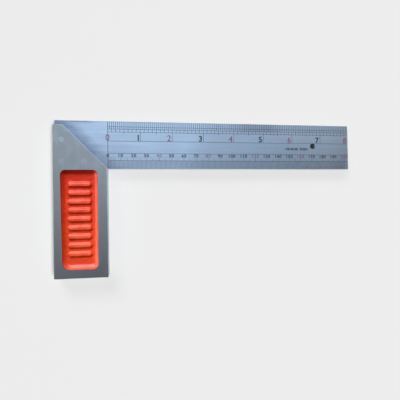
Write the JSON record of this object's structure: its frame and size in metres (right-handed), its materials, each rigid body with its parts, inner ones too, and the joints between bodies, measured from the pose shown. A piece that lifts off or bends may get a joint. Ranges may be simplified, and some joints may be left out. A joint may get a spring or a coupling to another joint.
{
  "type": "try and mitre square",
  "caption": "Fixed try-and-mitre square: graduated steel blade riveted in a slotted cast stock with a 45 degree shoulder and enamelled recesses.",
  "frame": {"origin": "middle of the square's box, on the surface that its back face lies on", "axes": "+X along the blade from the stock to the tip, +Y up the stock towards the blade, +Z out of the front face"},
  "size_m": [0.243, 0.1204, 0.016],
  "materials": {
    "stock_casting": "ground on every outer face, with a fine grain along the stock",
    "blade_steel": "satin, with a fine grain along the blade",
    "rivet_steel": "ground flush with the stock's faces",
    "enamel": "thick glossy orange-red enamel over the rough casting",
    "graduation_black": "etched line filled with matt black",
    "graduation_red": "etched figure filled with matt red"
  },
  "bodies": {
    "root": {"stock": "stock_casting", "blade": "blade_steel", "rivet_upper": "rivet_steel", "rivet_lower": "rivet_steel", "rivet_inner": "rivet_steel", "enamel_front": "enamel", "enamel_back": "enamel"}
  },
  "joints": []
}
